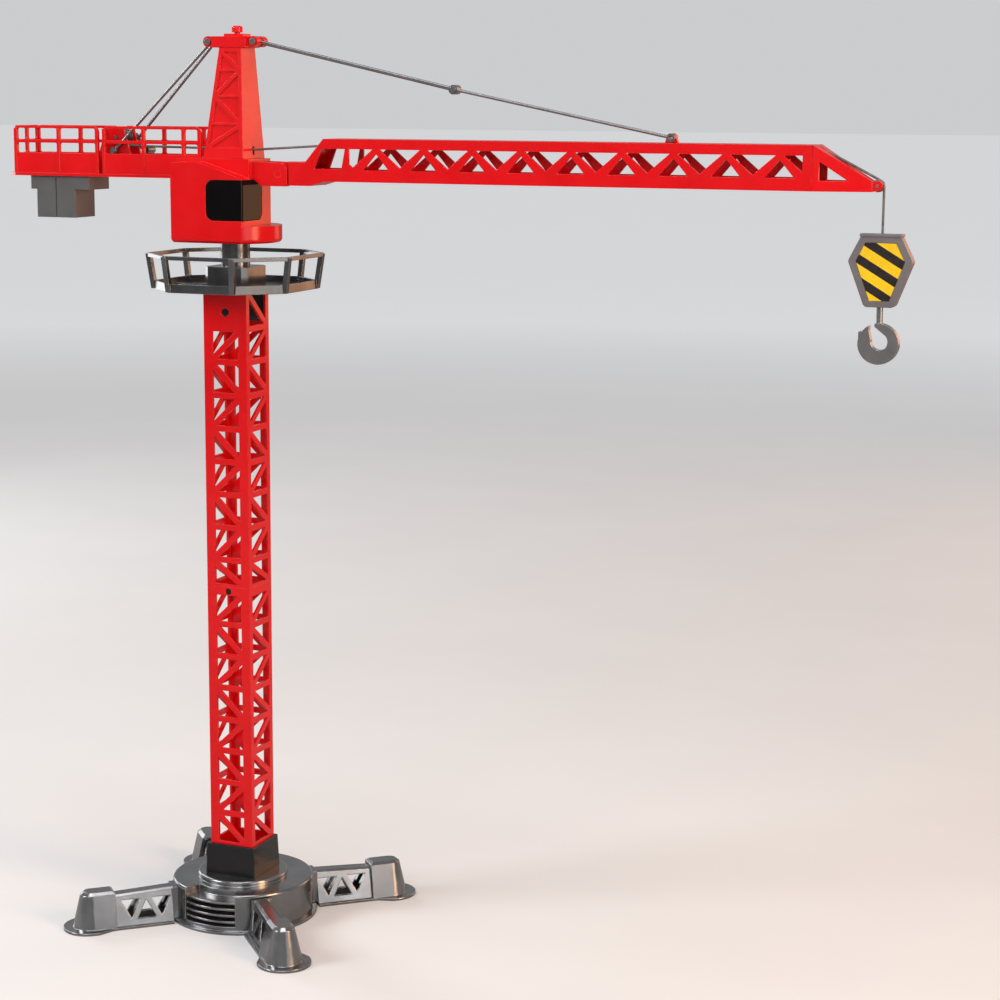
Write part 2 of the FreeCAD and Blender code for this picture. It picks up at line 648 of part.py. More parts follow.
def make_turret_shell():
    body = new_body("turret_shell")
    wall = d.shell_wall
    half = d.core_half
    pad(body, "XZ", [cab_outline(0)], -d.cab_near, -half + 0.5)
    pad(body, "XZ", [box(-d.cab_back, d.turret_bottom, d.cab_front, d.core_top)], -half, half)
    soften(body, 3, lambda edge: runs_along(edge, "z") and near(edge.CenterOfMass.y, -d.cab_near))
    skirt_x = 29.5
    pad(body, "XY", [[(-skirt_x, -d.cab_near), (skirt_x, -d.cab_near, d.skirt_radius),
                      (d.skirt_radius, 0, d.skirt_radius), (0, d.skirt_radius, d.skirt_radius),
                      (-d.skirt_radius, 0, d.skirt_radius)]], d.turret_bottom, d.skirt_top)
    soften(body, 4.5, lambda edge: edge.BoundBox.ZLength < 0.1 and near(edge.CenterOfMass.z, d.turret_bottom)
           and edge.Curve.TypeId == "Part::GeomCircle")
    cut(body, "XZ", [box(wall - d.cab_back, d.turret_bottom, d.cab_front - wall, d.core_top - wall)],
        wall - half, half - wall)
    cut(body, "XZ", [box(wall - d.cab_back, d.turret_bottom, d.cab_front - wall, d.roof_top - 17)],
        wall - d.cab_near, -half + wall)
    cut(body, "XY", [circle(0, 0, d.cab_near - wall - 0.2)], d.turret_bottom, d.skirt_top - wall)
    corner = d.window_corner
    left, low, high = -d.window_left, d.window_bottom, d.window_top
    cut(body, "XZ", [[(left + corner, low), (d.cab_front + 1, low), (d.cab_front + 1, high),
                      (left + corner, high, corner), (left, high - corner), (left, low + corner, corner)]],
        -d.cab_near - 1, -d.cab_near + wall)
    cheek_low, cheek_high, nose = d.cheek_bottom, d.cheek_top, d.cheek_round
    clear = d.window_top + 2.1
    rise = [(d.cab_front - 2, clear), (d.cab_front + 0.5, clear), (d.cab_front + 12, cheek_low)]
    cheek = pad(body, "XZ", [rise + [(d.cheek_end, cheek_low),
                              (d.cheek_end, cheek_high - nose, nose), (d.cheek_end - nose, cheek_high),
                              (d.cab_front - 2, cheek_high + 0.8)]], -d.cheek_outer, -d.cheek_inner)
    mirror(body, cheek, "XZ")
    web_end = d.cab_front + 13
    pad(body, "XZ", [rise + [(web_end, cheek_low), (web_end, cheek_high), (d.cab_front - 2, cheek_high)]],
        -d.cheek_inner - 1, d.cheek_inner + 1)
    far = d.window_far
    cut(body, "YZ", [[(-d.cab_near - 1, low), (far - corner, low, corner), (far, low + corner),
                      (far, high - corner, corner), (far - corner, high), (-d.cab_near - 1, high)]],
        d.cab_front - wall, d.cab_front + 0.3)
    cut(body, "XZ", [circle(d.pivot_x, d.pivot_z, d.pivot_radius)], -d.cheek_outer - 1, d.cheek_outer + 1)


def make_turret_floor():
    body = new_body("turret_floor")
    inset = d.shell_wall + 0.3
    pad(body, "XY", [box(inset - d.cab_back, inset - d.cab_near, d.cab_front - inset,
                         d.core_half - inset)], d.turret_bottom, d.turret_bottom + 3)
    pad(body, "XY", [circle(0, 0, 18)], d.turret_bottom + 3, d.spindle_top - 0.2)
    cut(body, "XY", [circle(0, 0, d.spindle_radius + d.running_gap)], d.turret_bottom, d.spindle_top)


def make_cab_window():
    body = new_body("cab_window")
    fit = 0.3
    near_face = -d.cab_near + 0.3
    front = d.cab_front - 0.3
    left = -d.window_left + fit
    far = d.window_far - fit
    thick = 2
    pad(body, "XY", [[(left, near_face), (front - 3, near_face, 3), (front, near_face + 3), (front, far),
                      (front - thick, far), (front - thick, near_face + thick), (left, near_face + thick)]],
        d.window_bottom + fit, d.window_top - fit)
    soften(body, d.window_corner - fit,
           lambda edge: runs_along(edge, "y") and near(edge.CenterOfMass.x, left))
    soften(body, d.window_corner - fit,
           lambda edge: runs_along(edge, "x") and near(edge.CenterOfMass.y, far))


def tower_rear(level):
    """The head tower's rear edge at a level, straight from its foot to its top."""
    share = (level - d.core_top) / (d.tower_top - d.core_top)
    return share * (d.tower_base_x - d.tower_top_rear) - d.tower_base_x


def tower_front(level):
    share = (level - d.core_top) / (d.tower_top - d.core_top)
    return d.tower_base_x - share * (d.tower_base_x - d.tower_top_front)


def make_head_tower():
    body = new_body("head_tower")
    base_x, base_y, top_y, wall = d.tower_base_x, d.tower_base_y, d.tower_top_y, d.tower_wall
    rear, front = -d.tower_top_rear, d.tower_top_front
    loft(body, "XY", (d.core_top, box(-base_x, -base_y, base_x, base_y)),
         (d.tower_top, box(rear, -top_y, front, top_y)))
    loft(body, "XY", (d.core_top, box(wall - base_x, wall - base_y, base_x - wall, base_y - wall)),
         (d.tower_top - wall, box(rear + wall, wall - top_y, front - wall, top_y - wall)),
         "SubtractiveLoft")
    cut(body, "YZ", [box(-2.2, 862.5, 2.2, 871.5)], base_x - 6, base_x + 1)
    cut(body, "YZ", [box(-2.2, 866, 2.2, 874.5)], -base_x - 1, -base_x + 7)
    slope = math.degrees(math.atan2((base_y - top_y).value, (d.tower_top - d.core_top).value))
    levels = [869.0, 895.5, 925.0, 952.5, 973.5]
    panels = []
    for index, (low, high) in enumerate(zip(levels, levels[1:])):
        low, high = low + 1.3, high - 1.3
        corners = [tower_rear(low) + 4, tower_front(low) - 4, tower_front(high) - 4, tower_rear(high) + 4]
        rise, run = 3.4, 2.6
        a, b, c, e = [(corners[0], low), (corners[1], low), (corners[2], high), (corners[3], high)]
        if index % 2 == 0:
            panels.append([(a[0], a[1] + rise), (c[0] - run, c[1]), e])
            panels.append([(a[0] + run, a[1]), b, (c[0], c[1] - rise)])
        else:
            panels.append([a, (b[0] - run, b[1]), (e[0], e[1] - rise)])
            panels.append([(b[0], b[1] + rise), c, (e[0] + run, e[1])])
    shifted = [[(x, (y - d.core_top) / math.cos(math.radians(slope))) for x, y in panel] for panel in panels]
    sketch = drawn(body, "XZ", shifted)
    sketch.setExpression("AttachmentOffset.Base.z", base_y.text)
    sketch.setExpression("AttachmentOffset.Base.y", d.core_top.text)
    sketch.AttachmentOffset = FreeCAD.Placement(FreeCAD.Vector(0, d.core_top.value, base_y.value),
                                                FreeCAD.Rotation(FreeCAD.Vector(1, 0, 0), -slope))
    pocket = body.newObject("PartDesign::Pocket", "head_tower_relief")
    pocket.Profile = sketch
    pocket.setExpression("Length", d.relief_depth.text)
    mirror(body, pocket, "XZ")


def make_head_cap():
    body = new_body("head_cap")
    rear, front = -17, 24
    pad(body, "XZ", [box(rear, d.tower_top, front, d.cap_top)], -d.cap_half, d.cap_half)
    pad(body, "XZ", [box(-6, d.cap_top, 17, d.cap_top + 2.9)], -9, 9)
    for x, inner in ((d.head_x_front, front - 1), (-d.head_x_rear, rear + 1)):
        left, right = (inner, x) if inner < x.value else (x, inner)
        pad(body, "XZ", [box(left, d.head_z - d.lug_radius + 0.5, right, d.head_z + d.lug_radius - 0.5)],
            -d.lug_half, d.lug_half)
        pad(body, "XZ", [circle(x, d.head_z, d.lug_radius)], -d.lug_half, d.lug_half)
        cut(body, "XZ", [circle(x, d.head_z, d.pin_radius)], -d.cap_half - 1, d.cap_half + 1)
    below, above = d.tower_top - 1, d.cap_top + 1
    cut(body, "XZ", [box(front + 0.4, below, d.head_x_front + 8, above)], -d.fork_front, d.fork_front)
    cut(body, "XZ", [box(-d.head_x_rear - 8, below, rear - 0.4, above)], -d.fork_rear, d.fork_rear)


def make_head_knob():
    body = new_body("head_knob", x=d.knob_x)
    low = d.cap_top + 2.9
    turn(body, [(0, low), (3.2, low), (3.2, low + 1.6), (d.knob_radius, low + 1.6),
                (d.knob_radius, d.crane_top - 2.5, 2.5), (d.knob_radius - 2.5, d.crane_top),
                (0, d.crane_top)])


def pin_outlines(body, x, z, half, head, radius):
    pad(body, "XZ", [circle(x, z, radius)], -half, half)
    pad(body, "XZ", [circle(x, z, head)], -half, -half + d.pin_head)
    pad(body, "XZ", [circle(x, z, head)], half - d.pin_head, half)


def make_head_pins():
    body = new_body("head_pins")
    for x in (d.head_x_front, -d.head_x_rear):
        pin_outlines(body, x, d.head_z, d.pin_half, 3.6, d.pin_radius)


# ---------------------------------------------------------------- counter-jib

def make_counter_deck():
    body = new_body("counter_jib_deck")
    half = d.deck_half
    pad(body, "XY", [[(-d.cab_back - 0.2, -half), (-d.cab_back - 0.2, half), (10 - d.deck_end, half),
                      (-d.deck_end, half - 8), (-d.deck_end, 8 - half), (10 - d.deck_end, -half)]],
        d.deck_bottom, d.deck_face)


def railing_outlines(left, right, posts, step):
    """Side view of a railing: kick-board below, two rows of openings, rounded upper corners."""
    corner = 7
    low = d.deck_face
    top = d.rail_height
    if step is None:
        rim = [(left, low), (right, low), (right, top - corner, corner), (right - corner, top),
               (left + corner, top, corner), (left, top - corner)]
    else:
        rim = [(left, low), (step, low), (step, d.core_top + 0.2), (right, d.core_top + 0.2),
               (right, top - corner, corner), (right - corner, top), (left + corner, top, corner),
               (left, top - corner)]
    outlines = [rim]
    for first, last in zip(posts, posts[1:]):
        outlines.append(rounded_box(first + 2, d.rail_low + 3, last - 2, d.rail_mid, 2))
        outlines.append(rounded_box(first + 2, d.rail_mid_top, last - 2, d.rail_bar, 2))
    return outlines


def make_railing(label, side, left, right, posts, step=None):
    body = new_body(label)
    outer = d.deck_half
    inner = outer - d.rail_plate
    low, high = (-outer, -inner) if side < 0 else (inner, outer)
    pad(body, "XZ", railing_outlines(left, right, posts, step), low, high)
    edge_low, edge_high = (-outer - 0.9, -outer + 0.5) if side < 0 else (outer - 0.5, outer + 0.9)
    for post in posts[:3]:
        foot = d.deck_face + 1.5
        if step is not None and post + d.rib_half.value > step.value:
            foot = d.core_top + 0.2
        pad(body, "XZ", [box(post - d.rib_half, foot, post + d.rib_half, d.rail_bar)], edge_low, edge_high)


def make_end_railing():
    body = new_body("rail_end")
    half = d.deck_half - d.rail_plate - 0.2
    windows = []
    for side in (-1, 1):
        first, last = (2 - half, as_size(-2)) if side < 0 else (as_size(2), half - 2)
        windows.append(rounded_box(first, d.rail_low + 3, last, d.rail_mid, 2))
        windows.append(rounded_box(first, d.rail_mid_top, last, d.rail_bar, 2))
    pad(body, "YZ", [rounded_box(-half, d.deck_face, half, d.rail_height, 1)] + windows, -265.5, -262.5)


def make_counterweight(label, left, right, flange_left, flange_right):
    body = new_body(label)
    top = d.deck_bottom - 0.1
    outline = [(left, d.weight_bottom), (right, d.weight_bottom)]
    if flange_right is not None:
        outline += [(right, d.weight_step), (flange_right, d.weight_step), (flange_right, top), (left, top)]
    else:
        outline += [(right, top), (flange_left, top), (flange_left, d.weight_step), (left, d.weight_step)]
    pad(body, "XZ", [outline], -d.weight_half, d.weight_half)
    soften(body, 1.2, lambda edge: runs_along(edge, "z") and edge.Length > 20, "Chamfer")


def make_winch_bracket():
    body = new_body("winch_bracket")
    foot = d.deck_face
    outline = [(-162, foot), (-120, foot), (-120, foot + 12), (-131, d.winch_z + 9), (-136, d.winch_z + 12),
               (-150, d.winch_z + 12), (-155, d.winch_z + 8), (-162, foot + 24)]
    cheek = pad(body, "XZ", [outline], -d.winch_cheek_out, -d.winch_cheek_in)
    mirror(body, cheek, "XZ")
    pad(body, "XY", [box(-162, -d.winch_cheek_out, -120, d.winch_cheek_out)], foot, foot + 2.5)
    gap = d.running_gap
    cut(body, "XZ", [circle(-d.winch_x, d.winch_z, d.axle_radius + gap)], -d.cap_half, d.cap_half)
    cut(body, "XZ", [circle(-d.anchor_x, d.anchor_z, d.pin_radius)], -d.cap_half, d.cap_half)


def make_rear_anchor_pin():
    body = new_body("rear_anchor_pin")
    reach = d.stay_y_low + d.stay_eye_half + d.pin_head + 0.1
    pin_outlines(body, -d.anchor_x, d.anchor_z, reach, 3.2, d.pin_radius)


def rod_body(label, first, last):
    """A body with its own X axis along the rod, and the rod's length from eye to eye."""
    start_x, start_z = first
    end_x, end_z = last
    run, fall = end_x - start_x, start_z - end_z
    body = new_body(label, start_x, 0, start_z)
    body.Placement = FreeCAD.Placement(FreeCAD.Vector(start_x.value, 0, start_z.value), FreeCAD.Rotation(
        FreeCAD.Vector(0, 1, 0), math.degrees(math.atan2(fall.value, run.value))))
    return body, distance(run, fall)


def mirrored(body, features):
    pattern = mirror(body, features[0], "XZ")
    pattern.Originals = features


def make_rear_pendant():
    """Two round stays, close together at the head and wide apart at the winch bracket."""
    body, length = rod_body("pendant_rods_rear", (-d.anchor_x, d.anchor_z), (-d.head_x_rear, d.head_z))
    low, high, half = d.stay_y_low, d.stay_y_high, d.stay_eye_half
    hole = d.pin_radius + d.running_gap
    radius = d.stay_radius
    features = [loft(body, "YZ", (0, circle(-low, 0, radius)), (length, circle(-high, 0, radius)))]
    for place, y in ((0, low), (length, high)):
        features.append(pad(body, "XZ", [circle(place, 0, d.eye_radius)], -y - half, -y + half))
    for place, y in ((0, low), (length, high)):
        features.append(cut(body, "XZ", [circle(place, 0, hole)], -y - half - 3, -y + half + 2))
    mirrored(body, features)


# ---------------------------------------------------------------- winch

def make_winch_drum():
    body = new_body("winch_drum", x=-d.winch_x, z=d.winch_z)
    edge = d.winch_cheek_in - 0.3
    pad(body, "XZ", [circle(0, 0, d.axle_radius)], -d.winch_cheek_out - 1.5, d.crank_y)
    pad(body, "XZ", [circle(0, 0, d.winding_radius)], -edge, edge)
    flange = pad(body, "XZ", [circle(0, 0, d.drum_flange)], -edge, -edge + 1.6)
    mirror(body, flange, "XZ")


def make_winch_crank():
    body = new_body("winch_crank", x=-d.winch_x, z=d.winch_z)
    throw = d.crank_throw
    low, high = d.crank_y, d.crank_y + d.crank_thick
    reach = throw * 0.7071
    pad(body, "XZ", [circle(0, 0, 5)], low, high)
    pad(body, "XZ", [[(-2.5, -2.5), (reach - 2.5, -reach - 2.5), (reach + 2.5, -reach + 2.5), (2.5, 2.5)]],
        low, high)
    pad(body, "XZ", [circle(reach, -reach, 4.4)], low, high)
    pad(body, "XZ", [circle(reach, -reach, 1.5)], high, high + 15.5)
    pad(body, "XZ", [circle(reach, -reach, 2.6)], high + 14.2, high + 15.5)


def make_crank_knob():
    reach = d.crank_throw * 0.7071
    body = new_body("crank_knob", x=-d.winch_x + reach, z=d.winch_z - reach)
    low = d.crank_y + d.crank_thick + 0.3
    pad(body, "XZ", [circle(0, 0, d.crank_knob_radius)], low, low + 13.5)
    soften(body, 1, lambda edge: edge.BoundBox.YLength < 0.1 and edge.BoundBox.XLength > 8)
    cut(body, "XZ", [circle(0, 0, 1.5 + d.running_gap)], low - 1, low + 15)


# ---------------------------------------------------------------- jib

def make_jib_truss():
    body = new_body("jib_truss")
    wall, start, end = d.jib_wall, d.root_start, d.jib_end
    low, high = d.jib_bottom, d.jib_top
    pad(body, "XZ", [[(start, d.root_bottom), (start + 25, d.root_bottom), (start + 42, low), (end, low),
                      (end, high), (start + 41, high), (start + 19.5, d.root_top), (start, d.root_top)]],
        -d.jib_half, d.jib_half)
    cut(body, "XZ", [[(start + wall, d.root_bottom + wall), (start + 24.6, d.root_bottom + wall),
                      (start + 41.6, low + wall), (end + 1, low + wall), (end + 1, high - wall),
                      (start + 42.2, high - wall), (start + 20.7, d.root_top - wall),
                      (start + wall, d.root_top - wall)]], wall - d.jib_half, d.jib_half - wall)
    pad(body, "XZ", [box(d.pivot_x, d.root_bottom, start + wall, d.pivot_z + d.tongue_radius)],
        -d.tongue_half, d.tongue_half)
    pad(body, "XZ", [circle(d.pivot_x, d.pivot_z, d.tongue_radius)], -d.tongue_half, d.tongue_half)
    cut(body, "XZ", [circle(d.pivot_x, d.pivot_z, d.pivot_radius + d.running_gap)],
        -d.tongue_half - 1, d.tongue_half + 1)
    cut(body, "YZ", [box(-3, 867, 3, 879)], start + 20, start + 44)
    through = d.jib_half + 1
    window_low, window_high = d.window_low, d.window_high
    apex, pitch = d.first_apex, d.jib_pitch
    upright = cut(body, "XZ", [[(apex - d.upright_half, window_low), (apex + d.upright_half, window_low),
                                (apex, d.upright_apex)]], -through, through)
    repeat(body, upright, "X", 9, pitch)
    centre = apex + pitch / 2
    inverted = cut(body, "XZ", [[(centre - d.inverted_half, window_high),
                                 (centre + d.inverted_half, window_high),
                                 (centre, d.inverted_apex)]], -through, through)
    repeat(body, inverted, "X", 8, pitch)
    first = apex - pitch / 2
    last = apex + pitch * 8.5
    clip = 4.35
    clip_level = d.inverted_apex + 3.7
    cut(body, "XZ", [[(start + 30.5, window_low + 1), (start + 62.5, window_low + 1),
                      (start + 66.6, window_high), (start + 38.5, window_high)],
                     [(first - clip, clip_level), (first, d.inverted_apex),
                      (first + d.inverted_half, window_high), (first - clip, window_high)],
                     [(last - clip, clip_level), (last - clip, window_high),
                      (last - d.inverted_half, window_high)]], -through, through)
    side = d.jib_half - 6
    bay = cut(body, "XY", [[(apex - 18, -side), (apex + 18, -side), (apex, side)]], low - 1, low + wall + 0.5)
    repeat(body, bay, "X", 9, pitch)
    bay = cut(body, "XY", [[(centre - 18, side), (centre + 18, side), (centre, -side)]],
              low - 1, low + wall + 0.5)
    repeat(body, bay, "X", 8, pitch)


def make_jib_nose():
    body = new_body("jib_nose")
    start = d.jib_end + 0.2
    end = d.nose_end
    half, tip, wall = d.jib_half, d.nose_half, d.jib_wall
    low, high = d.jib_bottom, d.jib_top
    loft(body, "YZ", (start, box(-half, low, half, high)), (end, box(-tip, low, tip, d.nose_top)))
    loft(body, "YZ", (start, box(wall - half, low + wall, half - wall, high - wall)),
         (end - 9, box(-tip + 0.4, low + wall, tip - 0.4, d.nose_top + 1.4)), "SubtractiveLoft")
    cut(body, "XZ", [[(start + 6.5, 846.5), (start + 34, 846.5), (start + 6.5, 865)]], -half - 1, half + 1)
    ear = pad(body, "XZ", [[(end - 3, low + 0.8), (d.roller_x, low + 0.8, 5.2),
                            (d.roller_x + 5.2, low + 6, 5.2), (d.roller_x, low + 11.2), (end - 3, low + 9)]],
              -tip + 0.5, -d.roller_half - 0.4)
    mirror(body, ear, "XZ")
    cut(body, "XZ", [circle(d.roller_x, d.roller_z, d.roller_flange + 0.8)],
        -d.roller_half - 0.4, d.roller_half + 0.4)
    cut(body, "XZ", [circle(d.roller_x, d.roller_z, 1.5)], -half, half)
    cut(body, "XY", [box(start + 1, -2.4, end + 9, 2.4)], low + 17, high + 1)
    cut(body, "XY", [box(start + 38, -2.4, end + 9, 2.4)], low + 9, high)


def make_jib_pivot_pin():
    body = new_body("jib_pivot_pin", x=d.pivot_x, z=d.pivot_z)
    pad(body, "XZ", [circle(0, 0, d.pivot_radius)], -d.cheek_outer, d.cheek_outer)


def make_jib_anchor():
    body = new_body("jib_anchor")
    x, z = d.jib_anchor_x, d.jib_anchor_z
    half = d.middle_half
    pad(body, "XZ", [[(x - 7, d.jib_top), (x + 7, d.jib_top), (x + 3.6, z + 3.8), (x - 3.6, z + 3.8)]],
        -half, half)
    cut(body, "XZ", [circle(x, z, d.pin_radius)], -half - 1, half + 1)


def make_upper_pendant():
    body, length = rod_body("pendant_rods_upper", (d.head_x_front, d.head_z), (d.knee_x, d.knee_z))
    half = d.middle_half
    pad(body, "YZ", [circle(0, 0, d.rod_radius)], 0, length)
    pad(body, "XZ", [circle(0, 0, d.eye_radius)], -half, half)
    pad(body, "XZ", [circle(length, 0, d.knee_radius)], -half, half)
    for place in (0, length):
        cut(body, "XZ", [circle(place, 0, d.pin_radius + d.running_gap)], -half - 2, half + 2)


def make_lower_pendant():
    body, length = rod_body("pendant_rods_lower", (d.knee_x, d.knee_z), (d.jib_anchor_x, d.jib_anchor_z))
    inner, outer = d.twin_inner, d.twin_outer
    features = [pad(body, "YZ", [circle(-d.twin_y, 0, d.twin_radius)], 0, length)]
    for place, radius in ((0, d.knee_radius), (length, d.eye_radius)):
        features.append(pad(body, "XZ", [circle(place, 0, radius)], -outer, -inner))
    for place in (0, length):
        features.append(cut(body, "XZ", [circle(place, 0, d.pin_radius + d.running_gap)],
                            -outer - 2, -inner + 1))
    mirrored(body, features)


def make_knee_pin():
    body = new_body("knee_pin")
    pin_outlines(body, d.knee_x, d.knee_z, d.twin_outer + d.pin_head + 0.1, 3.4, d.pin_radius)


def make_string_roller():
    body = new_body("string_roller", x=d.roller_x, z=d.roller_z)
    pad(body, "XZ", [circle(0, 0, d.roller_radius)], -d.roller_half, d.roller_half)
    flange = pad(body, "XZ", [circle(0, 0, d.roller_flange)], -d.roller_half, -d.roller_half + 0.8)
    mirror(body, flange, "XZ")
    cut(body, "XZ", [circle(0, 0, 1.5 + d.running_gap)], -d.roller_half - 1, d.roller_half + 1)


def make_roller_pin():
    body = new_body("roller_pin", x=d.roller_x, z=d.roller_z)
    pad(body, "XZ", [circle(0, 0, 1.5)], -d.nose_half, d.nose_half)


# ---------------------------------------------------------------- hoist

def make_hook_block_half(label, side):
    """One half of the block: a tapered plate with a recess for its striped panel."""
    body = new_body(label, x=d.line_x)
    near_face, far_face = (-d.block_thick_half, as_size(0)) if side < 0 else (as_size(0), d.block_thick_half)
    rim = block_outline(0)
    pad(body, "XZ", [rim], near_face, far_face)
    soften(body, 5, lambda edge: runs_along(edge, "y") and edge.Length > 5
           and edge.CenterOfMass.z < d.block_top.value - 5)
    depth = d.stripe_depth
    panel = block_outline(d.stripe_inset)
    if side < 0:
        cut(body, "XZ", [panel], near_face - 1, near_face + depth)
        cut(body, "XZ", [box(-1.8, d.block_bottom, 1.8, d.block_top)], -2, 0)
        cut(body, "XZ", [box(-6, d.block_bottom + 7, 6, d.block_bottom + 17)], -4.2, 0)
        cut(body, "XZ", [box(-3.4, d.block_bottom, 3.4, d.block_bottom + 8)], -3.4, 0)
    else:
        cut(body, "XZ", [panel], far_face - depth, far_face + 1)
        cut(body, "XZ", [box(-1.8, d.block_bottom, 1.8, d.block_top)], 0, 2)
        cut(body, "XZ", [box(-6, d.block_bottom + 7, 6, d.block_bottom + 17)], 0, 4.2)
        cut(body, "XZ", [box(-3.4, d.block_bottom, 3.4, d.block_bottom + 8)], 0, 3.4)


def block_outline(inset):
    top, wide, low = d.block_top_half, d.block_wide_half, d.block_low_half
    return [(inset * 0.8 - low, d.block_bottom + inset), (low - inset * 0.8, d.block_bottom + inset),
            (wide - inset * 1.25, d.block_wide), (top - inset * 0.75, d.block_top - inset),
            (inset * 0.75 - top, d.block_top - inset), (inset * 1.25 - wide, d.block_wide)]


def make_stripe_panels():
    body = new_body("stripe_panels", x=d.line_x)
    face = d.block_thick_half
    panel = pad(body, "XZ", [block_outline(d.stripe_inset + 0.3)], -face + 0.2, -face + d.stripe_depth)
    mirror(body, panel, "XZ")


def make_block_cap():
    body = new_body("hook_block_cap", x=d.line_x)
    half, deep = d.block_top_half + 1.5, d.block_thick_half + 1
    pad(body, "XY", [rounded_box(-half, -deep, half, deep, 3)], d.block_top, d.block_top + d.cap_thick)
    cut(body, "XY", [circle(0, 0, d.line_radius + 0.3)], d.block_top - 1, d.block_top + d.cap_thick + 1)


def make_hook():
    body = new_body("swivel_hook", x=d.line_x)
    thick = d.hook_thick_half
    low = d.block_bottom
    centre, sky = d.hook_z, d.hook_z + 30
    inner, tip = d.tip_inner, d.hook_z + d.tip_rise
    neck = d.shank_radius + 0.8
    pad(body, "XZ", [circle(0, centre, d.hook_radius)], -thick, thick)
    pad(body, "XZ", [[(-d.tip_outer, centre + 1), (-d.tip_outer, tip - 1), (-inner, tip), (-6, centre + 4)]],
        -thick, thick)
    cut(body, "XZ", [circle(1, centre + 2.4, d.hook_bowl)], -thick - 1, thick + 1)
    cut(body, "XZ", [[(1, centre + 2.4), (-7.3, centre + 3.4), (-inner, tip + 0.1), (-inner, sky),
                      (-neck, sky), (-neck, centre + 17), (6, centre + 9.2)]],
        -thick - 1, thick + 1)
    pad(body, "XY", [circle(0, 0, d.shank_radius)], d.hook_z + 16.5, low + 10)
    pad(body, "XY", [circle(0, 0, 3.9)], low + 9, low + 15)


def route_wire(points, radii):
    """Straight runs joined by tangent arcs in the XZ plane, one radius for each inner point."""
    places = [FreeCAD.Vector(x, 0, z) for x, z in points]
    edges = []
    start = places[0]
    for index, radius in enumerate(radii, start=1):
        corner = places[index]
        arrive = (corner - places[index - 1]).normalize()
        leave = (places[index + 1] - corner).normalize()
        half_turn = arrive.getAngle(leave) / 2
        reach = radius * math.tan(half_turn)
        first = corner - arrive * reach
        last = corner + leave * reach
        bisector = (leave - arrive).normalize()
        middle = corner + bisector * (radius / math.cos(half_turn) - radius)
        edges.append(Part.LineSegment(start, first).toShape())
        edges.append(Part.Arc(first, middle, last).toShape())
        start = last
        print("bend radius %.1f mm, turn %.1f degrees" % (radius, math.degrees(half_turn * 2)))
    edges.append(Part.LineSegment(start, places[-1]).toShape())
    return Part.Wire(edges)


def make_line(label, points, radii=()):
    """A stretch of the hoist line: a round section swept along its route."""
    wire = route_wire([(as_size(x).value, as_size(z).value) for x, z in points], radii)
    radius = d.line_radius.value
    first_edge = wire.Edges[0]
    start = first_edge.valueAt(first_edge.FirstParameter)
    direction = first_edge.tangentAt(first_edge.FirstParameter)
    section = Part.Wire([Part.makeCircle(radius, start, direction)])
    tube = wire.makePipeShell([section], True, False)
    expected = math.pi * radius ** 2 * wire.Length
    if abs(tube.Volume - expected) > 0.01 * expected:
        raise ValueError("%s has volume %.1f, expected %.1f" % (label, tube.Volume, expected))
    item = doc.addObject("Part::Feature", label)
    item.Label = label
    item.Shape = tube
    item.Placement = FreeCAD.Placement()
    NODES.append(item)


def make_hoist_lines():
    front = d.tower_base_x + 2.2
    drum_level = d.winch_z - d.winding_radius - d.line_radius - 0.3
    slot_level, root_level, end_level = 868.2, 873.6, 876.2
    root_x = d.root_start + 36
    make_line("hoist_line_winch", [(-d.winch_x, drum_level), (front, slot_level)])
    make_line("hoist_line_link", [(front + 0.2, slot_level), (root_x, root_level)])
    wrap = 5.9
    corner_x = d.line_x
    corner_z = d.roller_z + 3.4
    make_line("hoist_line_jib", [(root_x + 0.2, root_level), (655.0, end_level), (corner_x, corner_z),
                                 (corner_x, d.roller_z - 2.2)], (25.0, wrap))
    make_line("hoist_line_fall", [(corner_x, d.roller_z - 2.4), (corner_x, d.block_top - 6)])


# ---------------------------------------------------------------- assembly

make_base_drum()
make_base_cover()
make_ballast()
make_base_screws()
CORNERS = {"front_left": 225, "front_right": 315, "rear_right": 45, "rear_left": 135}
for corner_name, quarter in CORNERS.items():
    corner_angle = quarter + d.leg_turn.value
    make_leg("leg_" + corner_name, corner_angle)
    make_foot("foot_cap_" + corner_name, corner_angle)
make_mast_socket()
make_mast_lower()
make_mast_upper()
make_mast_screws()
make_platform_deck()
make_platform_railing()
make_slew_hub()
make_slew_retainer()
make_turret_shell()
make_turret_floor()
make_cab_window()
make_head_tower()
make_head_cap()
make_head_knob()
make_head_pins()
make_counter_deck()
REAR_POSTS = [-263.5, -207.8, -158.4]
FRONT_POSTS = [-149.3, -99.6, -49.6, -30.0]
for side_name, side in (("near", -1), ("far", 1)):
    make_railing("rail_%s_rear" % side_name, side, -265.5, -156.4, REAR_POSTS)
    make_railing("rail_%s_front" % side_name, side, -151.3, -28.0, FRONT_POSTS, -d.cab_back - 0.2)
make_end_railing()
make_counterweight("counterweight_rear", -d.weight_left, -d.weight_split - 0.15, -d.weight_flange_left, None)
make_counterweight("counterweight_front", -d.weight_split + 0.15, -d.weight_right, None,
                   -d.weight_flange_right)
make_winch_bracket()
make_rear_anchor_pin()
make_rear_pendant()
make_winch_drum()
make_winch_crank()
make_crank_knob()
make_jib_truss()
make_jib_nose()
make_jib_pivot_pin()
make_jib_anchor()
make_upper_pendant()
make_lower_pendant()
make_knee_pin()
make_string_roller()
make_roller_pin()
make_hook_block_half("hook_block_near", -1)
make_hook_block_half("hook_block_far", 1)
make_stripe_panels()
make_block_cap()
make_hook()
make_hoist_lines()

